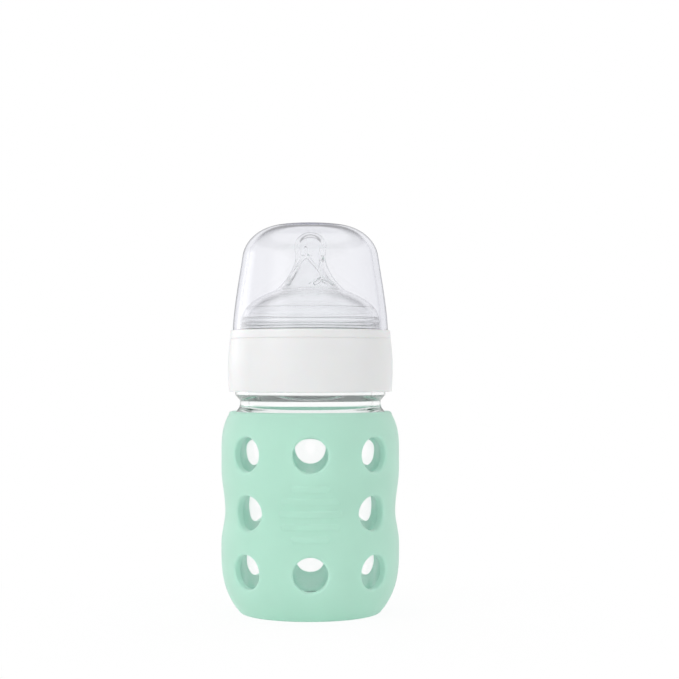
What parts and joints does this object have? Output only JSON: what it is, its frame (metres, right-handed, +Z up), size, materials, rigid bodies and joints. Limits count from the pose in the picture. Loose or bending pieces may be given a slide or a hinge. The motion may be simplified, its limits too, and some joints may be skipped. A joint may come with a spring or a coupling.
{
  "type": "baby bottle",
  "caption": "Wide-neck glass baby bottle in a perforated silicone sleeve, with a screw collar, silicone nipple and clear dome cap.",
  "frame": {"origin": "centre of the foot ring on the surface that the bottle stands on", "axes": "+Z up along the bottle's axis; the front, with the grip patch, faces -Y; +X to the right as seen from the front"},
  "size_m": [0.0716, 0.0718, 0.1569],
  "materials": {
    "clear_glass": "polished",
    "mint_silicone": "matte",
    "white_polypropylene": "satin",
    "clear_silicone": "satin",
    "clear_plastic": "polished"
  },
  "bodies": {
    "bottle": {"glass_bottle": "clear_glass", "silicone_sleeve": "mint_silicone"},
    "nipple": {"nipple": "clear_silicone"},
    "collar": {"screw_collar": "white_polypropylene"},
    "cap": {"dome_cap": "clear_plastic"}
  },
  "joints": [
    {"name": "nipple_lift", "type": "slide", "parent": "bottle", "child": "nipple", "axis": [0, 0, 1], "range_m": [0, 0.00625]},
    {"name": "collar_turn", "type": "hinge", "parent": "nipple", "child": "collar", "pos_m": [0, 0, 0.1], "axis": [0, 0, 1], "range_deg": [0, 450]},
    {"name": "cap_lift", "type": "slide", "parent": "collar", "child": "cap", "axis": [0, 0, 1], "range_m": [0, 0.06]}
  ],
  "couplings": [
    {"joint": "nipple_lift", "follows": "collar_turn", "m_per_rad": 0.00079577}
  ]
}
